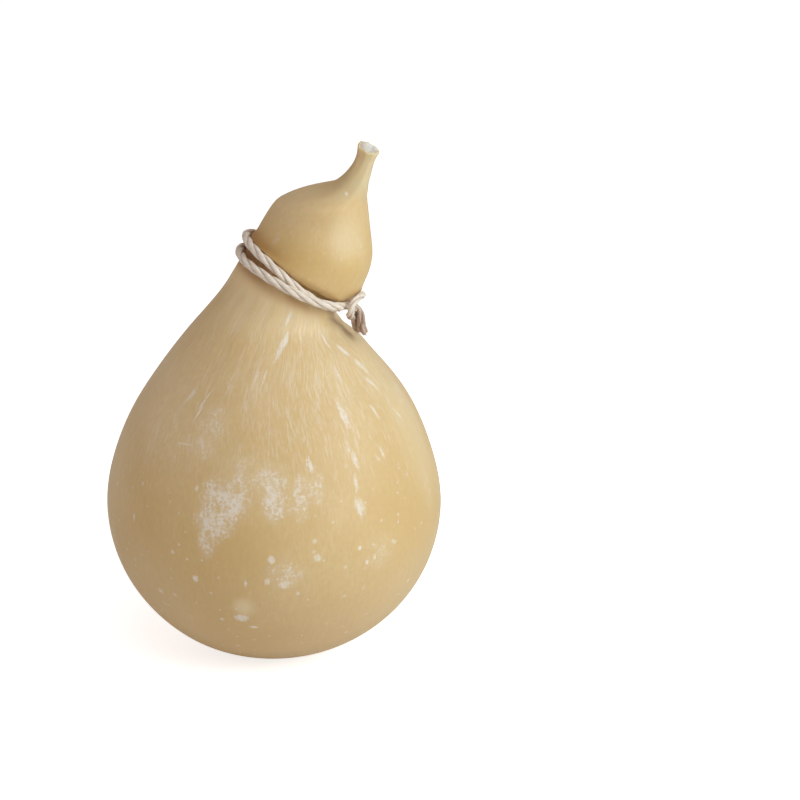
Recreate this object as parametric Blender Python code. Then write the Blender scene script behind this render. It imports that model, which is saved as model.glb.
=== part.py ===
"""Aged caciocavallo: one gourd-shaped cheese, bound twice round the neck with a natural laid cord.

The cheese is a loft of round sections that stand on a small flat foot and lean over above the shoulder, where
the head flops to the right. The cord is one length: it starts at a short tail, makes two turns round the neck,
crosses itself in a half knot at the right and ends in a second short tail.
Metres, +Z up, the front at -Y, the origin at the middle of the foot.
"""

import math

import bpy
import numpy as np

# Driving sizes of the cheese
BELLY_RADIUS = 0.0739
BELLY_DEPTH = 0.0700        # from the belly's widest level down to the pole that the foot cuts off
FOOT_RADIUS = 0.0167
SEGMENTS = 60               # points round each section
LOWER_RINGS = 13            # from the foot to the belly's widest level
UPPER_RINGS = 40            # from there to the lip of the stem
UNEVEN = 0.007              # the belly's share of out-of-round
# The cut end of the stem: a rounded rim, as steps inwards and up in rim widths, round a shallow dish
RIM_WIDTH = 0.0009
RIM_STEPS = ((0.3, 0.35), (0.8, 0.35), (1.3, -0.2))
DISH_DEPTH = 0.0026
DISH_SHARES = (0.9, 0.65, 0.35)      # rings of the dish, as shares of its radius

# Round sections above the belly's widest level: across, behind the belly's axis, height, radius, lean to the
# right, nod to the front. Metres and degrees.
SECTIONS = (
    (-0.0004, 0.0, 0.0934, 0.0692, -1, 0),       # upper belly
    (-0.0010, 0.0, 0.1163, 0.0593, -2, 0),       # shoulder
    (-0.0007, 0.0, 0.1366, 0.0448, 0, 0),
    (0.0020, 0.0, 0.1467, 0.0365, 6, 0),
    (0.0032, 0.0, 0.1541, 0.0297, 12, -1),       # top of the shoulder
    (0.0054, 0.0, 0.1596, 0.0265, 20, -2),
    (0.0068, 0.0, 0.1657, 0.0240, 29, -2),       # lower edge of the cord's groove
    (0.0075, 0.0, 0.1690, 0.0226, 30, -2),
    (0.0107, 0.0, 0.1741, 0.0227, 33, -2),
    (0.0137, 0.0, 0.1757, 0.0265, 34, -2),       # underside of the head
    (0.0151, 0.0, 0.1773, 0.0266, 28, -2),
    (0.0194, 0.0, 0.1863, 0.0254, 16, 0),        # head
    (0.0223, -0.0011, 0.2009, 0.0205, 9, 4),
    (0.0231, -0.0022, 0.2046, 0.0189, 2, 5),
    (0.0288, -0.0048, 0.2094, 0.0133, 1, 7),     # crown, drawn out towards the stem
    (0.0351, -0.0078, 0.2142, 0.0077, -1, 9),
    (0.0385, -0.0090, 0.2192, 0.0054, 4, 9),     # stem
    (0.0415, -0.0097, 0.2264, 0.0045, 15, 10),
    (0.0424, -0.0100, 0.2295, 0.0051, 23, 12),   # lip of the cut end
)

# The cord, in round-the-neck terms: the neck's axis stands in the middle of the bitten section.
NECK_CENTRE = (0.0102, 0.0, 0.1723)
NECK_LEAN = 28.5
NECK_NOD = -1.5
CORD_RADIUS = 0.0020
CORD_STEP = 16              # most degrees of a turn between the points of the cord
# Its route: angle from the right, round by the back; distance from the neck's axis; rise along it; and
# thickness as a share of the slack cord, which is squeezed where it is drawn tight in the knot.
ROUTE = (
    (-7, 0.0364, -0.0089, 0.68),         # cut end of the rear tail
    (-9, 0.0349, -0.0072, 0.80),
    (-12, 0.0332, -0.0053, 0.82),
    (-17, 0.0316, -0.0036, 0.80),
    (-35, 0.0335, 0.0, 0.78),
    (-37, 0.0336, 0.0018, 0.78),
    (-36, 0.0330, 0.0038, 0.78),         # over the other end
    (-33, 0.0323, 0.0053, 0.78),
    (6, 0.0295, 0.0022, 0.80),
    (14, 0.0282, -0.0008, 0.82),
    (32, 0.0281, -0.0004, 0.91),
    (60, 0.0279, 0.0004, 1),
    (90, 0.0272, 0.0015, 1),             # first turn: back
    (140, 0.0266, 0.0037, 1),
    (180, 0.0263, 0.0047, 1),            # left
    (200, 0.0265, 0.0045, 1),
    (218, 0.0267, 0.0041, 1),
    (235, 0.0266, 0.0035, 1),
    (250, 0.0264, 0.0025, 1),
    (268, 0.0261, 0.0006, 1),            # front
    (285, 0.0256, -0.0010, 1),
    (305, 0.0251, -0.0024, 1),
    (325, 0.0246, -0.0032, 0.88),
    (345, 0.0243, -0.0036, 0.80),        # behind the knot
    (368, 0.0242, -0.0039, 0.82),
    (392, 0.0244, -0.0039, 0.94),
    (420, 0.0248, -0.0037, 1),
    (450, 0.0252, -0.0034, 1),           # second turn: back
    (500, 0.0259, -0.0025, 1),
    (535, 0.0258, -0.0023, 1),           # left
    (555, 0.0261, -0.0024, 1),
    (573, 0.0269, -0.0024, 1),
    (591, 0.0278, -0.0020, 1),
    (612, 0.0290, -0.0016, 1),
    (630, 0.0301, -0.0013, 1),           # front, climbing over the first turn
    (650, 0.0307, -0.0009, 1),
    (668, 0.0315, 0.0003, 1),
    (677, 0.0302, 0.0005, 0.96),
    (691, 0.0297, 0.0010, 0.84),
    (694, 0.0312, 0.0017, 0.78),         # under the other end
    (702, 0.0322, 0.0006, 0.78),
    (704, 0.0338, -0.0009, 0.80),
    (703, 0.0353, -0.0024, 0.82),
    (705, 0.0364, -0.0042, 0.82),
    (705, 0.0378, -0.0059, 0.80),
    (708, 0.0393, -0.0073, 0.68),        # cut end of the front tail
)


def clear_scene():
    """Empty the file of objects."""
    for item in list(bpy.data.objects):
        bpy.data.objects.remove(item, do_unlink=True)


def add_collection(name):
    """A new collection in the scene."""
    group = bpy.data.collections.new(name)
    bpy.context.scene.collection.children.link(group)
    return group


def add_material(name, colour, roughness):
    """A plain Principled material; nothing on the cheese is metal."""
    material = bpy.data.materials.new(name)
    material.use_nodes = True
    shader = material.node_tree.nodes["Principled BSDF"]
    shader.inputs["Base Color"].default_value = (*colour, 1.0)
    shader.inputs["Roughness"].default_value = roughness
    shader.inputs["Metallic"].default_value = 0.0
    return material


def smooth_through(knots, rows, at):
    """Natural cubic curve through the rows, which stand at the knots, read at the given values."""
    knots = np.asarray(knots, float)
    rows = np.asarray(rows, float)
    gaps = np.diff(knots)
    slopes = np.diff(rows, axis=0) / gaps[:, None]
    system = np.eye(len(knots))
    right = np.zeros_like(rows)
    for i in range(1, len(knots) - 1):
        system[i, i - 1:i + 2] = (gaps[i - 1], 2 * (gaps[i - 1] + gaps[i]), gaps[i])
        right[i] = 6 * (slopes[i] - slopes[i - 1])
    bend = np.linalg.solve(system, right)
    k = np.clip(np.searchsorted(knots, at, side="right") - 1, 0, len(gaps) - 1)
    gap = gaps[k][:, None]
    step = (at - knots[k])[:, None]
    fall = slopes[k] - gap * (2 * bend[k] + bend[k + 1]) / 6
    return rows[k] + step * fall + step ** 2 * bend[k] / 2 + step ** 3 * (bend[k + 1] - bend[k]) / (6 * gap)


def axes(lean, nod):
    """Right, back and up directions of a section that leans to the right and nods to the front, in radians."""
    right = np.array((math.cos(lean), 0.0, -math.sin(lean)))
    up = np.array((math.sin(lean), 0.0, math.cos(lean)))
    back = np.array((0.0, 1.0, 0.0))
    return right, math.cos(nod) * back + math.sin(nod) * up, math.cos(nod) * up - math.sin(nod) * back


def belly_sections():
    """The lower belly, from the foot up: a quarter of an ellipse, cut level by the foot."""
    start = math.asin(FOOT_RADIUS / BELLY_RADIUS)
    sections = []
    for i in range(LOWER_RINGS):
        turn = start + (math.pi / 2 - start) * i / LOWER_RINGS
        height = BELLY_DEPTH * (math.cos(start) - math.cos(turn))
        sections.append((0.0, 0.0, height, BELLY_RADIUS * math.sin(turn), 0.0, 0.0))
    return sections


def upper_sections():
    """From the belly's widest level to the lip, evenly spaced on a smooth curve through the named sections."""
    level = BELLY_DEPTH * math.sqrt(1 - (FOOT_RADIUS / BELLY_RADIUS) ** 2)
    lower = belly_sections()[-7::2]
    rows = np.array(lower + [(0.0, 0.0, level, BELLY_RADIUS, 0.0, 0.0)] + list(SECTIONS))
    run = np.linalg.norm(np.diff(rows[:, :4], axis=0), axis=1)
    knots = np.concatenate(([0.0], np.cumsum(run)))
    knots -= knots[len(lower)]
    return smooth_through(knots, rows, np.linspace(0.0, knots[-1], UPPER_RINGS))


def ring(section):
    """One round section as points; the belly is a little out of round, and the head and neck are true."""
    across, behind, height, radius, lean, nod = section
    right, back, _ = axes(math.radians(lean), math.radians(nod))
    turn = np.linspace(0.0, 2 * math.pi, SEGMENTS, endpoint=False)
    share = UNEVEN * min(1.0, (radius / BELLY_RADIUS) ** 2)
    wave = 0.6 * np.cos(2 * turn + 0.9) + 0.4 * np.cos(3 * turn - 40 * height)
    reach = radius * (1 + share * (wave - wave[0]))
    around = np.outer(np.cos(turn), right) + np.outer(np.sin(turn), back)
    return np.array((across, behind, height)) + reach[:, None] * around


def stem_end(lip):
    """Sections of the cut end: over the rounded rim and down into the dish, towards its middle."""
    across, behind, height, radius, lean, nod = lip
    _, _, up = axes(math.radians(lean), math.radians(nod))
    sections = []
    for inset, rise in RIM_STEPS:
        sections.append((inset * RIM_WIDTH, rise * RIM_WIDTH))
    dish = radius - (RIM_STEPS[-1][0] + 0.3) * RIM_WIDTH
    for share in DISH_SHARES:
        sections.append((radius - dish * share, -DISH_DEPTH * (1 - share ** 2)))
    made = []
    for inset, rise in sections:
        place = np.array((across, behind, height)) + rise * up
        made.append((place, radius - inset))
    return made


def build_cheese(group, material):
    """The whole cheese as one closed skin: foot, belly, shoulder, neck, head and stem."""
    sections = belly_sections() + [tuple(row) for row in upper_sections()]
    rings = [ring(section) for section in sections]
    lip = sections[-1]
    for place, radius in stem_end(lip):
        shape = ring((0.0, 0.0, 0.0, radius, lip[4], lip[5]))
        rings.append(place + shape)
    points = [tuple(point) for each in rings for point in each]
    faces = [tuple(reversed(range(SEGMENTS)))]
    for row in range(len(rings) - 1):
        for i in range(SEGMENTS):
            j = (i + 1) % SEGMENTS
            low = row * SEGMENTS
            faces.append((low + i, low + j, low + SEGMENTS + j, low + SEGMENTS + i))
    last = (len(rings) - 1) * SEGMENTS
    faces.append(tuple(range(last, last + SEGMENTS)))
    mesh = bpy.data.meshes.new("cheese")
    mesh.from_pydata(points, [], faces)
    mesh.shade_smooth()
    mesh.set_sharp_from_angle(angle=math.radians(50))
    mesh.materials.append(material)
    cheese = bpy.data.objects.new("cheese", mesh)
    group.objects.link(cheese)
    return cheese


def cord_points():
    """Points and thickness shares along the cord, read from a smooth curve through its route."""
    right, back, up = axes(math.radians(NECK_LEAN), math.radians(NECK_NOD))
    rows = []
    for angle, reach, rise, share in ROUTE:
        turn = math.radians(angle)
        spoke = math.cos(turn) * right + math.sin(turn) * back
        rows.append((*(np.array(NECK_CENTRE) + reach * spoke + rise * up), share))
    rows = np.array(rows)
    run = np.linalg.norm(np.diff(rows[:, :3], axis=0), axis=1)
    knots = np.concatenate(([0.0], np.cumsum(run)))
    stops = []
    for i in range(len(ROUTE) - 1):
        least = 2 if ROUTE[i][3] < 0.9 else 1
        count = max(least, math.ceil((ROUTE[i + 1][0] - ROUTE[i][0]) / CORD_STEP))
        stops.extend(np.linspace(knots[i], knots[i + 1], count, endpoint=False))
    stops.append(knots[-1])
    return smooth_through(knots, rows, np.array(stops))


def build_cord(group, material):
    """The cord as one tube: two turns round the neck, a half knot at the right, two short tails."""
    curve = bpy.data.curves.new("neck_cord", "CURVE")
    curve.dimensions = "3D"
    curve.bevel_depth = CORD_RADIUS
    curve.bevel_resolution = 3
    curve.use_fill_caps = True
    made = cord_points()
    spline = curve.splines.new("POLY")
    spline.points.add(len(made) - 1)
    for point, (x, y, z, share) in zip(spline.points, made):
        point.co = (x, y, z, 1.0)
        point.radius = share
    curve.materials.append(material)
    cord = bpy.data.objects.new("neck_cord", curve)
    group.objects.link(cord)
    return cord


clear_scene()
parts = add_collection("aged_caciocavallo")
rind = add_material("rind", (0.62, 0.43, 0.20), 0.42)
twine = add_material("natural_cord", (0.72, 0.66, 0.57), 0.9)
build_cheese(parts, rind)
build_cord(parts, twine)
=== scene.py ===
"""An aged caciocavallo: a gourd-shaped pulled-curd cheese with a waxy straw-gold rind and traces of white
bloom. A natural laid cord is wound round its neck and knotted at the side, as it was hung to age.
Metres, +Z up, the front at -Y, the origin at the middle of the foot.
"""
import math

import bpy
import numpy as np
from mathutils import Matrix, Vector


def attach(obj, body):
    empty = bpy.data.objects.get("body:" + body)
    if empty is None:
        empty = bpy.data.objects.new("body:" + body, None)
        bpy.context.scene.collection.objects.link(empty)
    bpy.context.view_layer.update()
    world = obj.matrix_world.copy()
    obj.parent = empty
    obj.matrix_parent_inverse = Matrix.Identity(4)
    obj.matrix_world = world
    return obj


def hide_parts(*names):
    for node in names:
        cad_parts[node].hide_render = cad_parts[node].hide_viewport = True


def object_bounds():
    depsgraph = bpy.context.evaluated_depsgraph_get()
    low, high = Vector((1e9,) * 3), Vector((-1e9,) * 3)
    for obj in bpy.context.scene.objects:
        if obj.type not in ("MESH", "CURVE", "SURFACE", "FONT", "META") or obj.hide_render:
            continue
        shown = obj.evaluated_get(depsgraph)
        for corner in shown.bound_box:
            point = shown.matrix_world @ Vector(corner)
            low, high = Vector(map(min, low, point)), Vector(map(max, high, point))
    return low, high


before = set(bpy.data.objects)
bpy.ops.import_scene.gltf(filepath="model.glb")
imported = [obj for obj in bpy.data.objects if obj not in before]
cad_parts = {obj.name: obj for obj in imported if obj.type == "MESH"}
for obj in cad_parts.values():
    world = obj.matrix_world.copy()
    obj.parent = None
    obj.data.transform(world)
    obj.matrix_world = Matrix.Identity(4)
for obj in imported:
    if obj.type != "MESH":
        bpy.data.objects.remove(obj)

cad_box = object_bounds()


# ------------------------------------------------------------------------------
# The camera. A long lens on a stand, a little above the cheese and looking down on its front. It aims
# beside the cheese at half its height, so that the cheese stands left of the middle.
# ------------------------------------------------------------------------------
LOOK_DOWN = math.radians(17)
CAMERA_REACH = 1.30
SPAN_IN_VIEW = 0.352        # what the frame takes in at that reach
SENSOR_WIDTH = 36.0
AIM_ASIDE = 0.0558
AIM_HEIGHT = 0.4938         # as a share of the cheese's height

aim = Vector((AIM_ASIDE, 0.0, AIM_HEIGHT * cad_box[1][2]))
lens = bpy.data.cameras.new("camera")
lens.sensor_width = SENSOR_WIDTH
lens.lens = SENSOR_WIDTH * CAMERA_REACH / SPAN_IN_VIEW
lens.clip_end = 20.0
camera = bpy.data.objects.new("camera", lens)
camera.location = aim + CAMERA_REACH * Vector((0.0, -math.cos(LOOK_DOWN), math.sin(LOOK_DOWN)))
camera.rotation_euler = (math.pi / 2 - LOOK_DOWN, 0.0, 0.0)
bpy.context.scene.collection.objects.link(camera)
bpy.context.scene.camera = camera


# ------------------------------------------------------------------------------
# The neck cord. Off-white natural twine of three strands laid right-handed, drawn tight round the neck: from
# a short tail it makes two turns, crosses itself in a half knot at the right, and ends in a second tail.
# ------------------------------------------------------------------------------
NECK_CENTRE = np.array((0.0102, 0.0, 0.1723))
NECK_LEAN = math.radians(28.5)
NECK_NOD = math.radians(-1.5)
CORD_RADIUS = 0.0020
# The route: angle from the right, round by the back, in degrees; distance from the neck's axis; rise along
# it; and thickness as a share of the slack cord.
ROUTE = (
    (-7, 0.0364, -0.0089, 0.68),         # cut end of the rear tail
    (-9, 0.0349, -0.0072, 0.80),
    (-12, 0.0332, -0.0053, 0.82),
    (-17, 0.0316, -0.0036, 0.80),
    (-35, 0.0335, 0.0, 0.78),
    (-37, 0.0336, 0.0018, 0.78),
    (-36, 0.0330, 0.0038, 0.78),         # over the other end
    (-33, 0.0323, 0.0053, 0.78),
    (6, 0.0295, 0.0022, 0.80),
    (14, 0.0282, -0.0008, 0.82),
    (32, 0.0281, -0.0004, 0.91),
    (60, 0.0279, 0.0004, 1),
    (90, 0.0272, 0.0015, 1),             # first turn: back
    (140, 0.0266, 0.0037, 1),
    (180, 0.0263, 0.0047, 1),            # left
    (200, 0.0265, 0.0045, 1),
    (218, 0.0267, 0.0041, 1),
    (235, 0.0266, 0.0035, 1),
    (250, 0.0264, 0.0025, 1),
    (268, 0.0261, 0.0006, 1),            # front
    (285, 0.0256, -0.0010, 1),
    (305, 0.0251, -0.0024, 1),
    (325, 0.0246, -0.0032, 0.88),
    (345, 0.0243, -0.0036, 0.80),        # behind the knot
    (368, 0.0242, -0.0039, 0.82),
    (392, 0.0244, -0.0039, 0.94),
    (420, 0.0248, -0.0037, 1),
    (450, 0.0252, -0.0034, 1),           # second turn: back
    (500, 0.0259, -0.0025, 1),
    (535, 0.0258, -0.0023, 1),           # left
    (555, 0.0261, -0.0024, 1),
    (573, 0.0269, -0.0024, 1),
    (591, 0.0278, -0.0020, 1),
    (612, 0.0290, -0.0016, 1),
    (630, 0.0301, -0.0013, 1),           # front, climbing over the first turn
    (650, 0.0307, -0.0009, 1),
    (668, 0.0315, 0.0003, 1),
    (677, 0.0302, 0.0005, 0.96),
    (691, 0.0297, 0.0010, 0.84),
    (694, 0.0312, 0.0017, 0.78),         # under the other end
    (702, 0.0322, 0.0006, 0.78),
    (704, 0.0338, -0.0009, 0.80),
    (703, 0.0353, -0.0024, 0.82),
    (705, 0.0364, -0.0042, 0.82),
    (705, 0.0378, -0.0059, 0.80),
    (708, 0.0393, -0.0073, 0.68),        # cut end of the front tail
)
CORD_STEPS = 760            # rings along each strand
STRANDS = 3
STRAND_RING = 26            # points round a strand
LAY_LENGTH = 0.0245         # one whole turn of the strands round the cord
STRAND_OUT = 0.50           # a strand's middle from the cord's, as a share of the cord's radius
STRAND_WIDE = 0.56          # half sizes of a strand's oval section, in the same share
STRAND_DEEP = 0.49
YARNS = 7                   # yarns that show round a strand
YARN_RELIEF = 0.10          # how far they stand out, as a share of the strand
YARN_LAY = 0.0125           # one turn of the yarns in a strand, the other way round
SLUBS = ((0.04, 0.0013, 2.1), (0.03, 0.00075, 4.0))     # uneven spinning: swell, pace and shift by strand
END_TAPER = 0.0016          # the crushed last stretch of a cut end
END_CRUSHED = 0.55          # how thick the very end still is
TAIL = 0.022                # the free stretch at each end, where the lay relaxes and painted shade darkens the cord
TAIL_SWELL = 0.30           # how much thicker the relaxed end is
FIBRES = 1300
FIBRE_LENGTHS = (0.0009, 0.0024)
FIBRE_RADIUS = 0.000030
FRAY_FIBRES = 70            # at each cut end
FRAY_LENGTHS = (0.0012, 0.0027)
FRAY_RADIUS = 0.000060
TWINE_LIGHT = (0.86, 0.765, 0.655)
TWINE_BLEACHED = (0.92, 0.85, 0.75)
TWINE_TOW = (0.64, 0.47, 0.37)
TWINE_SHADE_AND_GRAIN = (0.48, 0.36, 0.25)
# painted shade of the tails and the left turns
TWINE_END_SHADE = (0.29, 0.145, 0.08)
# Grain of the twine's patterns: across the circle that the yarns run round, twice, and per metre along.
FIBRE_GRAIN = (5.0, 5.0, 260.0)
CLUMP_GRAIN = (1.2, 1.2, 120.0)
TOW_GRAIN = (2.0, 2.0, 480.0)


def smooth_through(knots, rows, at):
    """Natural cubic curve: between two knots each value is a cubic whose bends meet its neighbours'."""
    gaps = np.diff(knots)
    slopes = np.diff(rows, axis=0) / gaps[:, None]
    inner = np.arange(1, len(knots) - 1)
    system = np.eye(len(knots))
    system[inner, inner - 1] = gaps[:-1]
    system[inner, inner] = 2 * (gaps[:-1] + gaps[1:])
    system[inner, inner + 1] = gaps[1:]
    right = np.zeros_like(rows)
    right[1:-1] = 6 * (slopes[1:] - slopes[:-1])
    bend = np.linalg.solve(system, right)
    k = np.clip(np.searchsorted(knots, at, side="right") - 1, 0, len(gaps) - 1)
    gap = gaps[k][:, None]
    step = (at - knots[k])[:, None]
    fall = slopes[k] - gap * (2 * bend[k] + bend[k + 1]) / 6
    return rows[k] + step * fall + step ** 2 * bend[k] / 2 + step ** 3 * (bend[k + 1] - bend[k]) / (6 * gap)


def leaning_axes(lean, nod):
    """Right, back and up of a section: up leans to the right by one angle and nods forwards by the other."""
    zero = np.zeros_like(lean)
    right = np.stack((np.cos(lean), zero, -np.sin(lean)), axis=-1)
    upright = np.stack((np.sin(lean), zero, np.cos(lean)), axis=-1)
    backward = np.stack((zero, zero + 1.0, zero), axis=-1)
    cos, sin = np.cos(nod)[..., None], np.sin(nod)[..., None]
    return right, cos * backward + sin * upright, cos * upright - sin * backward


def unit(vectors):
    """Each vector divided by its length."""
    return vectors / np.maximum(np.linalg.norm(vectors, axis=-1, keepdims=True), 1e-12)


def run_along(points):
    """How far each point of a line is from its first one, measured along it."""
    return np.concatenate(([0.0], np.cumsum(np.linalg.norm(np.diff(points, axis=0), axis=1))))


def full_turn(count):
    """Angles of evenly spaced points round a circle."""
    return np.linspace(0.0, 2 * math.pi, count, endpoint=False)


def cord_line(steps):
    """The cord's middle line, evenly spaced: neck centre + reach x spoke + rise x neck axis, made smooth."""
    angle, reach, rise, share = np.array(ROUTE).T
    right, back, up = leaning_axes(np.array(NECK_LEAN), np.array(NECK_NOD))
    turn = np.radians(angle)[:, None]
    spoke = np.cos(turn) * right + np.sin(turn) * back
    rows = np.column_stack((NECK_CENTRE + reach[:, None] * spoke + rise[:, None] * up, share))
    knots = run_along(rows[:, :3])
    fine = smooth_through(knots, rows, np.linspace(0.0, knots[-1], 4 * steps))
    run = run_along(fine[:, :3])
    at = np.linspace(0.0, run[-1], steps)
    line = np.column_stack([np.interp(at, run, column) for column in fine.T])
    return line[:, :3], line[:, 3], at


def carried_frame(points):
    """Heading, side and third direction along a line. The side is turned by each bend and by nothing else."""
    heading = unit(np.gradient(points, axis=0))
    side = np.empty_like(points)
    side[0] = unit(np.cross(heading[0], (0.0, 0.0, 1.0)))
    for i in range(1, len(points)):
        flat = side[i - 1] - heading[i] * (side[i - 1] @ heading[i])
        side[i] = flat / np.linalg.norm(flat)
    return heading, side, np.cross(heading, side)


def closed_skin(rings, start, end):
    """Points and faces of a closed skin: a quad for each cell of the grid, a fan to a pole at either end."""
    rows, across = rings.shape[:2]
    points = np.concatenate((rings.reshape(-1, 3), [start, end]))
    row = (np.arange(rows - 1) * across)[:, None]
    j = np.arange(across)
    k = (j + 1) % across
    quads = np.stack((row + j, row + k, row + across + k, row + across + j), axis=-1).reshape(-1, 4)
    last = (rows - 1) * across
    first_fan = np.stack((k, j, np.full(across, rows * across)), axis=-1)
    last_fan = np.stack((last + j, last + k, np.full(across, rows * across + 1)), axis=-1)
    return points, quads.tolist() + first_fan.tolist() + last_fan.tolist()


def joined_piece(name, skins, material):
    """One smooth-shaded object from several closed skins."""
    points, faces, offset = [], [], 0
    for skin_points, skin_faces in skins:
        points.append(skin_points)
        faces += [[offset + corner for corner in face] for face in skin_faces]
        offset += len(skin_points)
    mesh = bpy.data.meshes.new(name)
    mesh.from_pydata(np.concatenate(points).tolist(), [], faces)
    mesh.shade_smooth()
    mesh.materials.append(material)
    piece = bpy.data.objects.new(name, mesh)
    bpy.context.scene.collection.objects.link(piece)
    return piece


def write_attribute(piece, name, values):
    """A number or a vector for each point of a piece, for its material to read."""
    kind, field = ("FLOAT_VECTOR", "vector") if values.ndim == 2 else ("FLOAT", "value")
    layer = piece.data.attributes.new(name, kind, "POINT")
    layer.data.foreach_set(field, np.ascontiguousarray(values, dtype=np.float32).ravel())


def add_node(tree, kind, settings=None, inputs=None):
    """A shader node with its settings and socket values; a value that is another node's output is linked."""
    node = tree.nodes.new("ShaderNode" + kind)
    for key, value in (settings or {}).items():
        setattr(node, key, value)
    for key, value in (inputs or {}).items():
        if isinstance(value, bpy.types.NodeSocket):
            tree.links.new(value, node.inputs[key])
        else:
            node.inputs[key].default_value = value
    return node


def new_material(name, **sockets):
    """A Principled material. What is the same all over it is set on the shader's own sockets."""
    material = bpy.data.materials.new(name)
    material.use_nodes = True
    shader = material.node_tree.nodes["Principled BSDF"]
    for key, value in sockets.items():
        shader.inputs[key.replace("_", " ")].default_value = value
    return material, material.node_tree, shader


def blend_colour(tree, share, first, second):
    """Colour that goes from the first to the second as the share goes from 0 to 1."""
    first, second = ((*colour, 1.0) if isinstance(colour, tuple) else colour for colour in (first, second))
    return add_node(tree, "Mix", {"data_type": "RGBA"}, {0: share, 6: first, 7: second}).outputs[2]


def sums(tree, operation, first, second, clamp=False):
    """One operation on two numbers."""
    settings = {"operation": operation, "use_clamp": clamp}
    return add_node(tree, "Math", settings, {0: first, 1: second}).outputs[0]


def weighed(tree, first, share, second, other_share):
    """Two numbers added, each times its share."""
    first = sums(tree, "MULTIPLY", first, share)
    return sums(tree, "ADD", first, sums(tree, "MULTIPLY", second, other_share))


def between(tree, value, low, high, to_low=0.0, to_high=1.0):
    """Smooth step: where the value goes from low to high, the result goes from one end to the other."""
    node = add_node(tree, "MapRange", {"interpolation_type": "SMOOTHSTEP"},
                    {"Value": value, "From Min": low, "From Max": high, "To Min": to_low, "To Max": to_high})
    return node.outputs["Result"]


def noise(tree, vector, scale, detail=3.0, roughness=0.55, distortion=0.0):
    """Soft cloud pattern about 0.5, at a scale per unit of its coordinates."""
    node = add_node(tree, "TexNoise", None, {
        "Vector": vector, "Scale": scale, "Detail": detail, "Roughness": roughness, "Distortion": distortion})
    return node.outputs["Fac"]


def stretched(tree, vector, factors):
    """Coordinates multiplied axis by axis."""
    node = add_node(tree, "VectorMath", {"operation": "MULTIPLY"}, {0: vector, 1: factors})
    return node.outputs[0]


def attribute(tree, name, output="Fac"):
    """What the piece's mesh holds under a name: a number, or coordinates when asked for as a Vector."""
    return add_node(tree, "Attribute", {"attribute_name": name}).outputs[output]


def twine_material():
    """Natural twine: pale fibres along each yarn, painted shade where the strands meet and towards the ends,
    dry and hairy.
    """
    material, tree, shader = new_material("natural twine", Sheen_Weight=0.25, Sheen_Roughness=0.5)
    yarn = attribute(tree, "yarn", "Vector")
    fibres = noise(tree, stretched(tree, yarn, FIBRE_GRAIN), 1.0, 4.0, 0.65)
    clumps = noise(tree, stretched(tree, yarn, CLUMP_GRAIN), 1.0, 2.0, 0.5)
    tow = noise(tree, stretched(tree, yarn, TOW_GRAIN), 1.0, 2.0, 0.6)
    pale = blend_colour(tree, between(tree, clumps, 0.35, 0.7), TWINE_LIGHT, TWINE_BLEACHED)
    pale = blend_colour(tree, between(tree, tow, 0.40, 0.70, 0.0, 0.55), pale, TWINE_TOW)
    # painted shade in the creases between the strands, with the darker fibre grain
    shade = weighed(tree, attribute(tree, "crease_shade"), 0.60, between(tree, fibres, 0.62, 0.36), 0.30)
    colour = blend_colour(tree, shade, pale, TWINE_SHADE_AND_GRAIN)
    # painted shade towards the tails and on the turns at the left
    end_shade = sums(tree, "MULTIPLY", attribute(tree, "end_shade"), between(tree, clumps, 0.30, 0.65, 0.5, 0.9))
    colour = blend_colour(tree, sums(tree, "MULTIPLY", end_shade, 0.95, clamp=True), colour, TWINE_END_SHADE)
    tree.links.new(colour, shader.inputs["Base Color"])
    tree.links.new(between(tree, fibres, 0.3, 0.7, 0.78, 0.95), shader.inputs["Roughness"])
    bump = add_node(tree, "Bump", None, {"Strength": 0.5, "Distance": 0.00012, "Height": fibres})
    tree.links.new(bump.outputs["Normal"], shader.inputs["Normal"])
    return material


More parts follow.
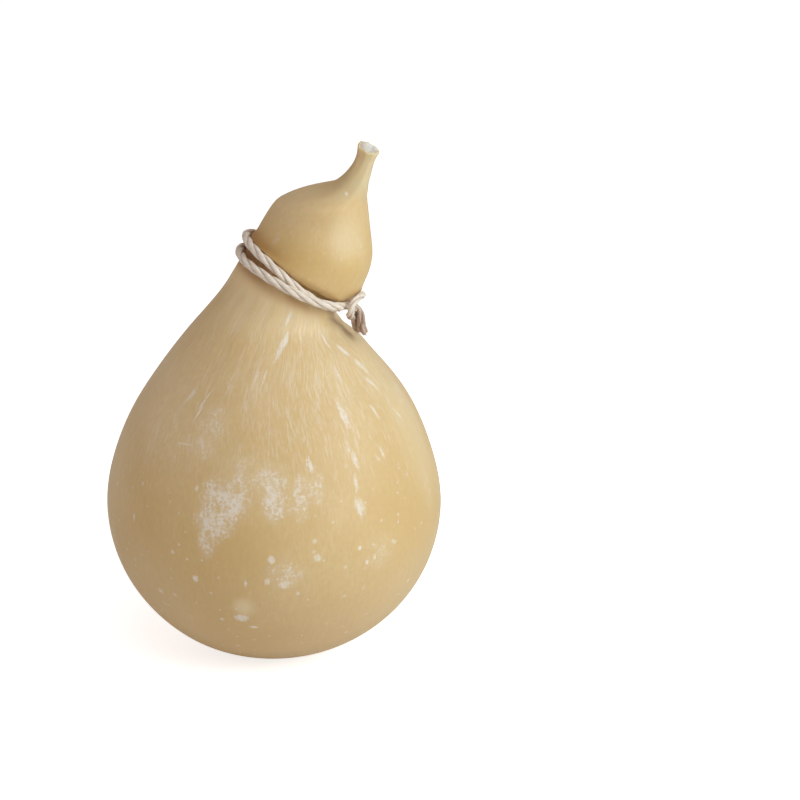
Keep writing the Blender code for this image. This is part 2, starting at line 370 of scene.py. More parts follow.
def strand_surfaces():
    """Three strands of oval section: each middle winds round the cord at a fixed share of its radius."""
    line, share, run = cord_line(CORD_STEPS)
    _, side, third = carried_frame(line)
    from_end = np.minimum(run, run[-1] - run)
    taper = END_CRUSHED + (1 - END_CRUSHED) * np.sqrt(np.clip(from_end / END_TAPER, 0.0, 1.0))
    slack = np.clip(1.0 - from_end / TAIL, 0.0, 1.0)
    radius = CORD_RADIUS * share * taper * (1 + TAIL_SWELL * np.sqrt(slack))
    # painted shade, strongest at the tails, and a trace on the turns at the left, the side away from the
    # light
    end_and_left_shade = np.clip((slack - 0.02) / 0.40, 0.0, 1.0)
    end_and_left_shade = end_and_left_shade + 0.10 * np.clip((-0.002 - line[:, 0]) / 0.012, 0.0, 1.0)
    around = full_turn(STRAND_RING)
    skins, yarn_rows, crease_shade_rows, end_shade_rows = [], [], [], []
    for strand in range(STRANDS):
        phase = 2 * math.pi * (run / LAY_LENGTH + strand / STRANDS)
        out = np.cos(phase)[:, None] * side + np.sin(phase)[:, None] * third
        middle = line + STRAND_OUT * radius[:, None] * out
        heading = unit(np.gradient(middle, axis=0))
        outward = unit(out - heading * np.sum(out * heading, axis=1, keepdims=True))
        across = np.cross(heading, outward)
        spin = 2 * math.pi * run / YARN_LAY
        yarn = around[None, :] + spin[:, None]
        relief = 1 + YARN_RELIEF * np.abs(np.cos(yarn * YARNS / 2)) - YARN_RELIEF
        slubs = sum(swell * np.sin(run / pace + shift * strand) for swell, pace, shift in SLUBS)
        relief = relief + slubs[:, None]
        deep = (STRAND_DEEP * radius)[:, None] * relief * np.cos(around)
        wide = (STRAND_WIDE * radius)[:, None] * relief * np.sin(around)
        rings = middle[:, None] + deep[..., None] * outward[:, None] + wide[..., None] * across[:, None]
        skins.append(closed_skin(rings, middle[0], middle[-1]))
        off_axis = np.linalg.norm(rings - line[:, None], axis=-1) / radius[:, None]
        pattern = (np.cos(yarn), np.sin(yarn), run[:, None] + 0.05 * strand)
        flow = np.stack(np.broadcast_arrays(*pattern), axis=-1)
        yarn_rows += [flow.reshape(-1, 3), flow[0, :1], flow[-1, :1]]
        # painted shade: how deep a point lies in the crease between two strands
        crease_shade_rows += [np.clip((0.88 - off_axis) / 0.33, 0.0, 1.0).ravel(), [0.5, 0.5]]
        end_shade_rows += [np.repeat(end_and_left_shade, STRAND_RING), end_and_left_shade[[0, -1]]]
    return skins, np.concatenate(yarn_rows), np.concatenate(crease_shade_rows), np.concatenate(end_shade_rows)


def fibre_skins(count, root, aim_along, length, radius, rng):
    """Tapering hairs: middle = root + t x length x aim + t squared x droop, with a triangle carried along."""
    t = np.linspace(0.0, 1.0, 6)
    droop = rng.normal(0.0, 0.35, (count, 3)) * length[:, None]
    reach = length[:, None] * aim_along
    middle = root[:, None] + t[:, None] * reach[:, None] + (t ** 2)[:, None] * droop[:, None]
    side = unit(np.cross(aim_along, rng.normal(size=(count, 3))))
    third = np.cross(aim_along, side)
    around = full_turn(3)
    ring = np.cos(around)[:, None] * side[:, None] + np.sin(around)[:, None] * third[:, None]
    thick = radius * (1 - 0.75 * t)
    rings = middle[:, :, None] + thick[None, :, None, None] * ring[:, None]
    return [closed_skin(rings[i], middle[i, 0], middle[i, -1]) for i in range(count)]


def loose_fibres():
    """Hairs that stand off the cord all along it, and a small brush of them at each cut end."""
    rng = np.random.default_rng(11)
    line, share, _ = cord_line(CORD_STEPS)
    heading, side, third = carried_frame(line)
    pick = rng.integers(12, CORD_STEPS - 12, FIBRES)
    turn = rng.uniform(0.0, 2 * math.pi, FIBRES)[:, None]
    out = np.cos(turn) * side[pick] + np.sin(turn) * third[pick]
    root = line[pick] + out * (0.86 * CORD_RADIUS * share[pick])[:, None]
    along = heading[pick] * rng.choice((-1.0, 1.0), FIBRES)[:, None]
    lean = unit(along + rng.uniform(0.15, 0.9, FIBRES)[:, None] * out + rng.normal(0.0, 0.25, (FIBRES, 3)))
    length = rng.uniform(*FIBRE_LENGTHS, FIBRES)
    skins = fibre_skins(FIBRES, root, lean, length, FIBRE_RADIUS, rng)
    for end, way in ((0, -1.0), (-1, 1.0)):
        spread = rng.uniform(0.0, 1.0, FRAY_FIBRES) ** 0.5 * 0.8 * CORD_RADIUS * share[end]
        turn = rng.uniform(0.0, 2 * math.pi, FRAY_FIBRES)[:, None]
        out = np.cos(turn) * side[end] + np.sin(turn) * third[end]
        root = line[end] - way * 0.0008 * heading[end] + out * spread[:, None]
        splay = spread[:, None] / CORD_RADIUS
        lean = unit(way * heading[end] + 0.5 * splay * out + rng.normal(0.0, 0.12, (FRAY_FIBRES, 3)))
        length = rng.uniform(*FRAY_LENGTHS, FRAY_FIBRES)
        skins += fibre_skins(FRAY_FIBRES, root, lean, length, FRAY_RADIUS, rng)
    return skins


twine = twine_material()
skins, yarn_flow, crease_shade, end_shade = strand_surfaces()
laid_cord = joined_piece("laid_cord", skins, twine)
write_attribute(laid_cord, "yarn", yarn_flow)
write_attribute(laid_cord, "crease_shade", crease_shade)
write_attribute(laid_cord, "end_shade", end_shade)
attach(laid_cord, "root")
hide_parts("neck_cord")

fibres = joined_piece("cord_fibres", loose_fibres(), twine)
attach(fibres, "root")


# ------------------------------------------------------------------------------
# The cheese. Stretched curd drawn into a ball, closed at the neck, where the cord has bitten in, and pinched
# off in a stem with a cut end. Brined and aged, its skin is a smooth, slightly translucent waxy rind.
# ------------------------------------------------------------------------------
BELLY_RADIUS = 0.0739
BELLY_DEPTH = 0.0700        # from the belly's widest level down to the pole that the foot cuts off
FOOT_RADIUS = 0.0167
UNEVEN = 0.007              # the belly's share of out-of-round
# Round sections above the belly's widest level: across, behind the belly's axis, height, radius, lean to the
# right, nod to the front. Metres and degrees.
SECTIONS = (
    (-0.0004, 0.0, 0.0934, 0.0692, -1, 0),       # upper belly
    (-0.0010, 0.0, 0.1163, 0.0593, -2, 0),       # shoulder
    (-0.0007, 0.0, 0.1366, 0.0448, 0, 0),
    (0.0020, 0.0, 0.1467, 0.0365, 6, 0),
    (0.0032, 0.0, 0.1541, 0.0297, 12, -1),       # top of the shoulder
    (0.0054, 0.0, 0.1596, 0.0265, 20, -2),
    (0.0068, 0.0, 0.1657, 0.0240, 29, -2),       # lower edge of the cord's groove
    (0.0075, 0.0, 0.1690, 0.0226, 30, -2),
    (0.0107, 0.0, 0.1741, 0.0227, 33, -2),
    (0.0137, 0.0, 0.1757, 0.0265, 34, -2),       # underside of the head
    (0.0151, 0.0, 0.1773, 0.0266, 28, -2),
    (0.0194, 0.0, 0.1863, 0.0254, 16, 0),        # head
    (0.0223, -0.0011, 0.2009, 0.0205, 9, 4),
    (0.0231, -0.0022, 0.2046, 0.0189, 2, 5),
    (0.0288, -0.0048, 0.2094, 0.0133, 1, 7),     # crown, drawn out towards the stem
    (0.0351, -0.0078, 0.2142, 0.0077, -1, 9),
    (0.0385, -0.0090, 0.2192, 0.0054, 4, 9),     # stem
    (0.0415, -0.0097, 0.2264, 0.0045, 15, 10),
    (0.0424, -0.0100, 0.2295, 0.0051, 23, 12),   # lip of the cut end
)
ROUND = 240                 # points round each section
FOOT_RINGS = 6
LOWER_RINGS = 64
UPPER_RINGS = 290
NECK_CROWD = 3.2            # how much closer the upper rings lie in the neck,
NECK_ALONG = 0.108          # how far along the curve that is from the widest level,
NECK_LENGTH = 0.020         # and over what length
STEM_CROWD = 2.4            # the same towards the lip
STEM_LENGTH = 0.030
STEM_HEIGHT = 0.2140        # where the head has become the stem
SLOW_WAVE = 0.00028         # heights of the skin's relief
QUICK_WAVE = 0.00016
FURROW = 0.00011
STEM_RIDGE = 0.00014
FURROWS_BELOW = 0.026       # how far the furrows run out from the cord
FURROWS_ABOVE = 0.010
RIM_WIDTH = 0.0009
RIM_PROFILE = ((0.15, 0.30), (0.45, 0.50), (0.85, 0.45), (1.25, 0.10))      # in and up, in rim widths
DISH_DEPTH = 0.0026
DISH_RINGS = 12
NECK_HEIGHTS = (0.140, 0.205)       # only between these is the skin near the cord
CORD_BITE = 0.00010         # how far the tight cord sinks into the paste
CORD_HOLD = 0.0034          # the paste swells up to meet a cord that is no further off than this
LOOSE_ENDS = 0.027          # the cord is off the paste in its knot and tails
GROOVE_REACH = 0.0268       # the groove ends this far from the neck's axis
GROOVE_FADE = 0.0020
KNOT_SIDE = 0.018           # to the right of this the groove gets no painted shade
KNOT_FADE = 0.010
SHADE_LINE = 0.0016         # how far the painted shade spreads along the cord's edge
SHADE_IN_GROOVE = 0.0045    # and inside the groove


def bell(value, middle, width):
    """1 at the middle of a band, falling off on both sides of it as e to minus the square of the distance."""
    return np.exp(-((value - middle) / width) ** 2)


def ellipse_sections(angles, level):
    """Upright sections: height = level - belly depth x cos angle, radius = belly radius x sin angle."""
    nil = np.zeros(len(angles))
    rise = level - BELLY_DEPTH * np.cos(angles)
    return np.column_stack((nil, nil, rise, BELLY_RADIUS * np.sin(angles), nil, nil))


def cheese_sections():
    """Sections from the foot to the lip: a quarter ellipse up to the widest level, then the smooth curve."""
    start = math.asin(FOOT_RADIUS / BELLY_RADIUS)
    level = BELLY_DEPTH * math.cos(start)
    quarter = math.pi / 2 - start
    lower = ellipse_sections(start + quarter * np.arange(LOWER_RINGS) / LOWER_RINGS, level)
    # the curve starts on the ellipse, seven thirteenths of it below the widest level
    lead = ellipse_sections(start + quarter * np.array((6, 8, 10, 12, 13)) / 13, level)
    rows = np.concatenate((lead, np.array(SECTIONS)))
    knots = run_along(rows[:, :4])
    knots -= knots[len(lead) - 1]
    # closer rings in the neck and on the stem than on the belly
    place = knots[-1] * np.linspace(0.0, 1.0, 2000)
    crowd = 1.0 + NECK_CROWD * bell(place, NECK_ALONG, NECK_LENGTH)
    crowd = crowd + STEM_CROWD * bell(place, knots[-1], STEM_LENGTH)
    count = np.concatenate(([0.0], np.cumsum(0.5 * (crowd[1:] + crowd[:-1]))))
    at = np.interp(np.linspace(0.0, count[-1], UPPER_RINGS), count, place)
    return np.concatenate((lower, smooth_through(knots, rows, at)))


def section_rings(sections):
    """Section middle + radius x (cos x right + sin x back), the belly's radius waving a little round it."""
    across, behind, height, radius, lean, nod = sections.T
    right, back, up = leaning_axes(np.radians(lean), np.radians(nod))
    turn = full_turn(ROUND)
    share = UNEVEN * np.minimum(1.0, (radius / BELLY_RADIUS) ** 2)[:, None]
    wave = 0.6 * np.cos(2 * turn + 0.9) + 0.4 * np.cos(3 * turn - 40 * height[:, None])
    reach = radius[:, None] * (1 + share * (wave - wave[:, :1]))
    around = np.cos(turn)[None, :, None] * right[:, None] + np.sin(turn)[None, :, None] * back[:, None]
    middle = np.column_stack((across, behind, height))
    return middle[:, None] + reach[..., None] * around, middle, up


def outward_normals(rings):
    """Cross product of the steps round the grid and up it."""
    round_step = np.roll(rings, -1, axis=1) - np.roll(rings, 1, axis=1)
    up_step = np.gradient(rings, axis=0)
    return unit(np.cross(round_step, up_step))


def hand_made_relief(turn, run, neck, stem):
    """Height of the skin: slow waves all over, furrows that fan out from the cord, ridges up the stem."""
    relief = SLOW_WAVE * np.sin(2 * turn + 31 * run + 0.7) * np.sin(43 * run + 1.1)
    relief += QUICK_WAVE * np.sin(5 * turn - 27 * run) * np.sin(61 * run + 0.4)
    below = np.exp(-np.clip(neck - run, 0.0, None) / FURROWS_BELOW) * (run < neck)
    above = np.exp(-np.clip(run - neck, 0.0, None) / FURROWS_ABOVE) * (run >= neck)
    furrows = np.sin(19 * turn + 1.3 + 0.8 * np.sin(3 * turn)) + 0.7 * np.sin(31 * turn + 22 * run)
    furrows += 0.5 * np.sin(47 * turn + 2.2)
    relief += FURROW * furrows * (below + 0.8 * above)
    up_stem = np.clip((run - stem) / 0.012, 0.0, 1.0)
    ridges = np.sin(5 * turn + 60 * run) + 0.6 * np.sin(9 * turn - 90 * run + 1.0)
    relief += up_stem * STEM_RIDGE * ridges
    # the skin flattens out towards the foot
    return relief * np.clip(run / 0.012, 0.0, 1.0)


def beside_cord(points, line, radius):
    """For each point: the nearest place on the cord's middle line, the way and distance from it, and the
    cord's radius there."""
    nearest = np.empty(len(points), dtype=int)
    for block in np.array_split(np.arange(len(points)), max(1, len(points) // 2000)):
        gap = points[block, None] - line[None]
        nearest[block] = np.argmin(np.einsum("ijk,ijk->ij", gap, gap), axis=1)
    away = points - line[nearest]
    return line[nearest], away, np.linalg.norm(away, axis=1), radius[nearest]


def bedded_in(rings):
    """The skin pushed clear of the cord and swollen up to it, and its painted shade: a line along the cord,
    and, except by the knot at the right, all of the groove."""
    line, share, along = cord_line(CORD_STEPS)
    tight = (along > LOOSE_ENDS) & (along < along[-1] - LOOSE_ENDS)
    line, share = line[tight], share[tight]
    flat = rings.reshape(-1, 3)
    near = np.nonzero((flat[:, 2] > NECK_HEIGHTS[0]) & (flat[:, 2] < NECK_HEIGHTS[1]))[0]
    foot, away, far, radius = beside_cord(flat[near], line, CORD_RADIUS * share - CORD_BITE)
    gap = far - radius
    held = np.clip(gap / CORD_HOLD, 0.0, 1.0)
    gap = np.where(gap < 0.0, 0.0, gap * held * held * (3 - 2 * held))
    flat[near] = foot + away * ((radius + gap) / far)[:, None]
    _, _, up = leaning_axes(np.array(NECK_LEAN), np.array(NECK_NOD))
    spoke = flat[near] - NECK_CENTRE
    spoke = spoke - (spoke @ up)[:, None] * up
    inside = np.clip((GROOVE_REACH - np.linalg.norm(spoke, axis=1)) / GROOVE_FADE, 0.0, 1.0)
    inside = inside * np.clip((KNOT_SIDE - flat[near, 0]) / KNOT_FADE, 0.0, 1.0)
    beyond = np.clip(far - radius, 0.0, None)
    cord_shade = np.zeros(len(flat))
    # painted shade along the cord's edge and in the groove
    cord_shade[near] = np.maximum(bell(beyond, 0.0, SHADE_LINE), inside * bell(beyond, 0.0, SHADE_IN_GROOVE))
    return flat.reshape(rings.shape), cord_shade.reshape(rings.shape[:2])


def cut_end(lip, up):
    """Rings over the torn rim of the stem and down its dish, each a share of the lip drawn to its middle."""
    middle = lip.mean(axis=0)
    turn = full_turn(ROUND)
    ragged = 0.00050 * np.sin(2 * turn + 2.6) + 0.00038 * np.sin(7 * turn + 2.0) + 0.00022 * np.sin(16 * turn)
    reach = np.linalg.norm(lip - middle, axis=1).mean()
    rings, inside = [], []
    for inset, rise in RIM_PROFILE:
        share = 1 - inset * RIM_WIDTH / reach
        rings.append(middle + (lip - middle) * share + (rise * RIM_WIDTH + ragged * rise)[:, None] * up)
        inside.append(np.full(ROUND, inset / RIM_PROFILE[-1][0]))
    start = 1 - 1.5 * RIM_WIDTH / reach
    for step in range(DISH_RINGS):
        share = start * (1 - step / DISH_RINGS)
        lumps = 0.00018 * np.sin(4 * turn + 7 * share) * share
        sink = -DISH_DEPTH * (1 - (share / start) ** 2.4)
        rings.append(middle + (lip - middle) * share + (sink + lumps)[:, None] * up)
        inside.append(np.ones(ROUND))
    return np.array(rings), np.array(inside), middle - DISH_DEPTH * up


sections = cheese_sections()
rings, spine, spine_up = section_rings(sections)
turn = full_turn(ROUND)[None, :]
run = run_along(rings.mean(axis=1))
outline_run = run_along(rings[:, 0])
neck_row = int(np.argmin(np.abs(spine[:, 2] - NECK_CENTRE[2])))
stem_row = int(np.argmin(np.abs(spine[:, 2] - STEM_HEIGHT)))
relief = hand_made_relief(turn, run[:, None], run[neck_row], run[stem_row])
rings = rings + relief[..., None] * outward_normals(rings)
rings, pressed_shade = bedded_in(rings)
foot_shares = np.arange(1, FOOT_RINGS + 1) / (FOOT_RINGS + 1)
foot_rings = foot_shares[:, None, None] * (rings[0] * (1, 1, 0))[None]
rings[0, :, 2] = 0.0
end_rings, end_inside, end_pole = cut_end(rings[-1], spine_up[-1])
grid = np.concatenate((foot_rings, rings, end_rings))


def all_rows(values, before, after):
    """A value for each point of the whole skin: those given for the sections, with the foot's rings before
    them, the cut end's after them, and the two poles last."""
    foot = np.broadcast_to(before, (len(foot_rings), ROUND))
    sides = np.broadcast_to(values, (len(rings), ROUND))
    end = np.broadcast_to(after, (len(end_rings), ROUND))
    whole = np.concatenate((foot, sides, end))
    return np.concatenate((whole.ravel(), [whole[0, 0], whole[-1, 0]]))


# Coordinates that follow the stretch of the curd: a circle round the cheese, drawn in above the neck, and the
# distance up it.
flow_along = all_rows(outline_run[:, None], 0.0, outline_run[-1])
flow_turn = all_rows(turn, turn, turn)
past_neck = np.clip((run - run[neck_row] + 0.004) / 0.010, 0.0, 1.0)[:, None]
drawn_in = all_rows(1.0 - 0.45 * past_neck, 1.0, 0.55)
flow = np.column_stack((drawn_in * np.cos(flow_turn), drawn_in * np.sin(flow_turn), flow_along))

# White bloom: patches where it has settled on the skin. Angle round the section, -90 at the front; height of
# the section's middle; half width, half length, slant to the right in degrees and strength.
BLOOM = (
    (-99, 0.0985, 0.0081, 0.0090, 10, 1.15),      # the large patch, from its upper right down to the left
    (-103, 0.0902, 0.0117, 0.0112, 20, 1.45),
    (-108, 0.0827, 0.0115, 0.0106, 20, 1.45),
    (-110, 0.0733, 0.0062, 0.0099, 5, 1.20),
    (-109, 0.0925, 0.0090, 0.0115, 10, 1.05),
    (-88, 0.0981, 0.0084, 0.0096, -5, 1.30),      # its neighbours to the right
    (-87, 0.0897, 0.0079, 0.0096, -5, 1.25),
    (-92, 0.1010, 0.0044, 0.0054, 0, 0.95),
    (-78, 0.0920, 0.0057, 0.0132, 5, 1.05),
    (-72, 0.0953, 0.0050, 0.0108, 0, 0.90),
    (-99, 0.1060, 0.0100, 0.0060, 0, 0.70),       # thin veils above
    (-113, 0.1202, 0.0094, 0.0120, 10, 0.80),
    (-115, 0.1120, 0.0088, 0.0084, 10, 0.80),
    (-84, 0.0600, 0.0125, 0.0105, 0, 0.85),       # thin clouds of flecks below
    (-51, 0.0633, 0.0120, 0.0110, 0, 0.65),
    (-20, 0.0820, 0.0060, 0.0160, 0, 0.60),       # round the sides and the back
    (22, 0.0980, 0.0080, 0.0140, -10, 0.90),
    (58, 0.0800, 0.0110, 0.0120, 20, 1.00),
    (95, 0.1050, 0.0060, 0.0160, -4, 0.90),
    (128, 0.0700, 0.0090, 0.0090, -15, 0.90),
    (165, 0.0900, 0.0070, 0.0130, 10, 0.90),
    (200, 0.0600, 0.0060, 0.0060, 0, 0.80),
    (-134, 0.1850, 0.0030, 0.0110, 0, 0.70),      # on the head
    (-165, 0.2000, 0.0040, 0.0080, 0, 0.60),
    (-37, 0.1930, 0.0050, 0.0120, 0, 0.55),
    (100, 0.1900, 0.0060, 0.0100, 0, 0.60),
)
# Narrow marks in the same terms: streaks down the stretch of the curd, scratches and single spots.
MARKS = (
    (-84, 0.1496, 0.0019, 0.0088, 20, 1.90),      # streaks under the cord
    (-84, 0.1592, 0.0013, 0.0052, 12, 1.60),
    (-87, 0.1453, 0.0012, 0.0059, 25, 1.30),
    (-91, 0.1376, 0.0012, 0.0078, 15, 1.20),
    (-48, 0.1519, 0.0010, 0.0072, -10, 1.70),
    (-36, 0.1466, 0.0018, 0.0059, -25, 1.80),
    (-54, 0.1206, 0.0023, 0.0097, -3, 1.80),      # the bright streak at the right, and those in line with it
    (-48, 0.1367, 0.0010, 0.0091, 0, 1.40),
    (-56, 0.1049, 0.0019, 0.0104, -12, 1.50),
    (-57, 0.0948, 0.0016, 0.0065, 0, 1.50),
    (-57, 0.0852, 0.0032, 0.0072, -5, 1.50),
    (-73, 0.1052, 0.0019, 0.0059, -10, 1.60),
    (-27, 0.1354, 0.0016, 0.0084, -20, 1.60),
    (-28, 0.1280, 0.0018, 0.0072, -25, 1.50),
    (-38, 0.1180, 0.0013, 0.0059, -15, 1.50),
    (-24, 0.1143, 0.0016, 0.0072, -25, 1.40),
    (-42, 0.1032, 0.0015, 0.0052, -10, 1.30),
    (-48, 0.1515, 0.0011, 0.0042, -5, 1.20),      # finer and fainter ones among them
    (-111, 0.1345, 0.0012, 0.0075, 20, 1.15),
    (-96, 0.1379, 0.0012, 0.0062, 16, 1.10),
    (-28, 0.1352, 0.0011, 0.0062, -22, 1.40),
    (-45, 0.1022, 0.0026, 0.0036, -10, 1.20),     # a blot in line with the bright streak
    (-116, 0.0949, 0.0014, 0.0020, 0, 1.50),      # a spot beside the large patch
    (-169, 0.1604, 0.0013, 0.0055, 18, 1.40),     # under the cord at the left
    (-72, 0.1475, 0.0010, 0.0050, 4, 1.00),       # and in front
    (-129, 0.1303, 0.0018, 0.0065, 20, 1.40),     # scratches at the left
    (-120, 0.1290, 0.0007, 0.0080, 22, 1.80),
    (-122, 0.1240, 0.0006, 0.0069, 22, 1.70),
    (-109, 0.1329, 0.0015, 0.0065, 20, 1.10),
    (-125, 0.1120, 0.0060, 0.0005, 0, 1.50),
    (-88, 0.0666, 0.0022, 0.0024, 0, 2.00),       # spots low on the belly
    (-84, 0.0553, 0.0043, 0.0030, 0, 1.75),
    (-90, 0.0563, 0.0022, 0.0024, 0, 1.62),
    (-73, 0.0664, 0.0027, 0.0030, 0, 1.50),
    (-52, 0.0622, 0.0012, 0.0020, 0, 1.88),
    (-56, 0.0615, 0.0011, 0.0014, 0, 1.75),
    (-58, 0.0680, 0.0012, 0.0014, 0, 1.75),
    (-115, 0.0550, 0.0018, 0.0022, 0, 2.00),
    (-134, 0.0434, 0.0024, 0.0019, 30, 1.62),
    (-134, 0.0370, 0.0032, 0.0022, 30, 1.25),
    (-142, 0.0763, 0.0011, 0.0035, 0, 1.40),
    (-101, 0.0364, 0.0042, 0.0030, 0, 1.90),
    (-96, 0.0315, 0.0026, 0.0014, 0, 1.75),
    (-107, 0.0179, 0.0024, 0.0014, 0, 1.50),
    (-98, 0.0555, 0.0011, 0.0027, 0, 1.50),
    (-93, 0.2124, 0.0010, 0.0017, -20, 1.60),     # nick at the foot of the stem
    (40, 0.1100, 0.0009, 0.0104, 30, 1.30),       # at the back
    (150, 0.1200, 0.0010, 0.0078, -20, 1.30),
)
MARK_DEPTH = 0.012          # how far in and out of the skin a mark's oval reaches
# Places where the rind is worn pale, and painted highlights and painted light, in the same terms.
WORN_AND_LIT = (
    (-99, 0.0432, 0.0052, 0.0052, 0, 0.50),       # a round spot low on the belly
    (-59, 0.1950, 0.0090, 0.0110, 0, 0.22),       # painted highlight on the fullest part of the head
    (-18, 0.1080, 0.0180, 0.0320, 0, 0.26),       # painted highlight on the right flank
    (-120, 0.1580, 0.0200, 0.0090, 0, 0.24),      # painted light under the cord at the left, against its shadow
)
FAN_REACH = 0.074           # how far below the neck the dashes of bloom have half thinned out
FAN_FADE = 0.018
FAN_SIDE = math.radians(-55)
HEAD_SHADE = (-0.014, 0.012)         # bands of deeper gold, middle and width: painted shade low on the head, by the way down from the neck
BELLY_GOLD = (0.070, 0.026)         # and deeper gold round the belly, by height
LIT_UNDER_CORD_BAND = (0.0078, 0.0038)      # the band of painted light under the cord, by the way down from the neck
RIND_GOLD = (0.66, 0.465, 0.215)            # the rind's own two colours
RIND_STRAW = (0.72, 0.545, 0.30)
RIND_TAN_SHADE_AND_GRAIN = (0.56, 0.37, 0.17)               # painted shade low on the belly, and the grain
RIND_DEEP_AND_SHADE = (0.60, 0.39, 0.115)             # round the belly; painted shade low on the head and left of the stem
RIND_PALE = (0.84, 0.73, 0.50)              # where it is worn, and for the painted highlights and painted light
RIND_LIT_UNDER_CORD = (0.90, 0.69, 0.38)            # painted light just under the cord, against its shadow
RIND_DRY_AND_LIT = (0.65, 0.555, 0.35)              # paler on the stem, with a painted highlight on its right side
RIND_AMBER_SHADE = (0.40, 0.165, 0.020)           # painted shade where the cord presses
BLOOM_WHITE = (0.80, 0.73, 0.64)
CURD_WHITE = (0.80, 0.77, 0.73)             # the curd in the cut end, with painted shade on its left, in the hollow
CURD_SHADE = (0.47, 0.39, 0.30)
# Grain of the rind's patterns, per metre; those that run with the curd have it across its circle, twice, and
# per metre up it.
DASH_GRAIN = (95.0, 95.0, 250.0)
STROKE_GRAIN = (42.0, 42.0, 120.0)
VEIL_GRAIN = (11.0, 11.0, 34.0)
FLECK_GRAIN = 700.0
SKIN_GRAIN = 420.0
BLOTCH_GRAIN = 190.0
CLOUD_GRAIN = 16.0
PIN_HEADS = ((150.0, 0.25), (290.0, 0.30))  # cells per metre, and the largest head's radius in cells


def soft_ovals(ovals):
    """Strongest of some ovals: smooth from full at 0.2 to none at 1.3 half sizes, measured along the skin."""
    cover = np.zeros(rings.shape[:2])
    for angle, height, wide, long, slant, strength in ovals:
        around = (turn - math.radians(angle) + math.pi) % (2 * math.pi) - math.pi
        across = around * sections[:, 3:4]
        along = (run - np.interp(height, spine[:, 2], run))[:, None]
        lean = math.radians(slant)
        first = (math.cos(lean) * across - math.sin(lean) * along) / wide
        second = (math.sin(lean) * across + math.cos(lean) * along) / long
        share = np.clip((1.3 - np.hypot(first, second)) / 1.1, 0.0, 1.0)
        cover = np.maximum(cover, strength * share * share * (3 - 2 * share))
    return cover


def skin_place(angle, height):
    """Point on the skin and the skin's directions there: round it, up it and straight out."""
    row = int(np.argmin(np.abs(spine[:, 2] - height)))
    column = round(angle / 360 * ROUND) % ROUND
    round_way = unit(rings[row, (column + 1) % ROUND] - rings[row, column - 1])
    up_way = unit(rings[row + 2, column] - rings[row - 2, column])
    out_way = unit(np.cross(round_way, up_way))
    return rings[row, column], round_way, np.cross(out_way, round_way), out_way


def oval_coordinates(tree, position, angle, height, slant, half_sizes):
    """Object coordinates moved to a place on the skin, laid along it and divided by the half sizes."""
    place, round_way, up_way, out_way = skin_place(angle, height)
    lean = math.radians(slant)
    across = math.cos(lean) * round_way - math.sin(lean) * up_way
    along = math.sin(lean) * round_way + math.cos(lean) * up_way
    turned = Matrix((across, along, out_way)).transposed().to_euler()
    node = add_node(tree, "Mapping", {"vector_type": "TEXTURE"}, {
        "Vector": position, "Location": tuple(place), "Rotation": tuple(turned), "Scale": half_sizes})
    return node.outputs["Vector"]


def mark_cover(tree, position):
    """The narrow marks: each falls from full at its middle to none at 1.45 half sizes, and the strongest
    shows."""
    cover = None
    for angle, height, wide, long, slant, strength in MARKS:
        vector = oval_coordinates(tree, position, angle, height, slant, (wide, long, MARK_DEPTH))
        off = add_node(tree, "VectorMath", {"operation": "LENGTH"}, {0: vector}).outputs["Value"]
        share = sums(tree, "MULTIPLY", between(tree, off, 0.1, 1.45, 1.0, 0.0), strength)
        cover = share if cover is None else sums(tree, "MAXIMUM", cover, share)
    return cover


def settled(tree, texture, cover, reach, edges, body):
    """Bloom where a texture and the cover together pass a level: flecks that join and whiten as the cover
    grows."""
    level = sums(tree, "ADD", texture, sums(tree, "MULTIPLY", cover, reach))
    return sums(tree, "MULTIPLY", between(tree, level, *edges), between(tree, cover, *body))


def paste_colour(tree, position, place, fine, dashes):
    """Gold and straw in slow clouds, tan painted shade towards the foot, deeper gold with painted shade in
    some places, and a fine tan grain.
    """
    clouds = noise(tree, position, CLOUD_GRAIN, 2.0, 0.5)
    colour = blend_colour(tree, between(tree, clouds, 0.35, 0.68), RIND_GOLD, RIND_STRAW)
    # painted shade: tan towards the foot
    lower = sums(tree, "MULTIPLY", between(tree, place["Z"], 0.080, 0.004), 0.45)
    colour = blend_colour(tree, lower, colour, RIND_TAN_SHADE_AND_GRAIN)
    # deeper gold, and painted shade
    golden_and_shade = sums(tree, "MULTIPLY", attribute(tree, "golden_and_shade"), 0.55)
    colour = blend_colour(tree, golden_and_shade, colour, RIND_DEEP_AND_SHADE)
    colour = blend_colour(tree, between(tree, fine, 0.62, 0.38, 0.0, 0.16), colour, RIND_TAN_SHADE_AND_GRAIN)
    return blend_colour(tree, between(tree, dashes, 0.58, 0.36, 0.0, 0.16), colour, RIND_TAN_SHADE_AND_GRAIN)


